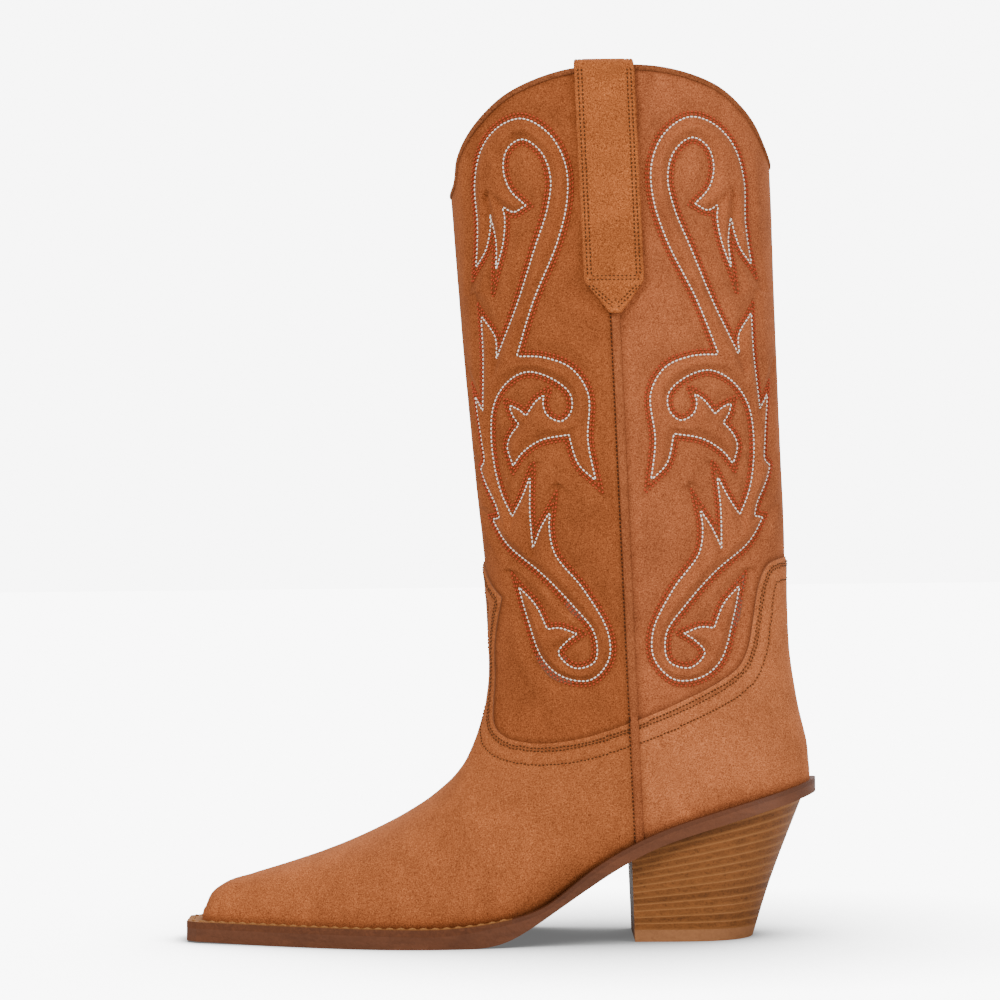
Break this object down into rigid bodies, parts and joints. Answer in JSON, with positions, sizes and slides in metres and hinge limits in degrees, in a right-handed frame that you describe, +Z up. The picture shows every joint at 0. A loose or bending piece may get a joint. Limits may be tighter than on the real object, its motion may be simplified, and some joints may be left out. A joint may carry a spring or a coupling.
{
  "type": "cowboy boot",
  "caption": "Left pull-on western boot with a pointed toe, curved shaft rim, pull straps, welted leather sole and tall underslung stacked heel.",
  "frame": {"origin": "bottom centre of the bounding box, on the floor the boot stands on", "axes": "+Z up the leg, -X towards the toe, -Y towards the outer side of the leg"},
  "size_m": [0.2638, 0.1004, 0.3624],
  "materials": {
    "vamp_suede": "fine nap suede",
    "counter_suede": "fine nap suede",
    "front_leg_suede": "fine nap suede",
    "back_leg_suede": "fine nap suede",
    "seam_suede": "fine nap suede, folded",
    "strap_suede": "fine nap suede, folded edges",
    "binding_leather": "dark edge binding",
    "welt_leather": "natural tan, stitched",
    "rand_leather": "brown, waxed",
    "sole_leather": "dark red-brown, burnished edge",
    "top_piece_leather": "lighter brown, burnished",
    "heel_leather": "stacked lifts, burnished",
    "stiffener_board": "raw leatherboard",
    "interlining_cloth": "woven cotton",
    "lining_leather": "smooth tan glazed",
    "insole_leather": "raw vegetable tan",
    "insock_leather": "smooth tan",
    "cork": "ground cork",
    "shank_steel": "plain",
    "nail_steel": "plain"
  },
  "bodies": {
    "root": {"vamp": "vamp_suede", "counter": "counter_suede", "front_leg_panel": "front_leg_suede", "back_leg_panel": "back_leg_suede", "outer_side_welt": "seam_suede", "inner_side_welt": "seam_suede", "outer_pull_strap": "strap_suede", "inner_pull_strap": "strap_suede", "front_top_binding": "binding_leather", "back_top_binding": "binding_leather", "welt": "welt_leather", "rand": "rand_leather", "outsole": "sole_leather", "top_piece": "top_piece_leather", "toe_puff": "stiffener_board", "vamp_interlining": "interlining_cloth", "heel_stiffener": "stiffener_board", "vamp_lining": "lining_leather", "heel_lining": "lining_leather", "front_leg_lining": "lining_leather", "back_leg_lining": "lining_leather", "insole": "insole_leather", "insock": "insock_leather", "bottom_filler": "cork", "seat_board": "stiffener_board", "shank": "shank_steel", "heel_nails": "nail_steel", "heel_lift_01": "heel_leather", "heel_lift_02": "heel_leather", "heel_lift_03": "heel_leather", "heel_lift_04": "heel_leather", "heel_lift_05": "heel_leather", "heel_lift_06": "heel_leather", "heel_lift_07": "heel_leather", "heel_lift_08": "heel_leather", "heel_lift_09": "heel_leather", "heel_lift_10": "heel_leather", "heel_lift_11": "heel_leather", "heel_lift_12": "heel_leather", "heel_lift_13": "heel_leather"}
  },
  "joints": []
}
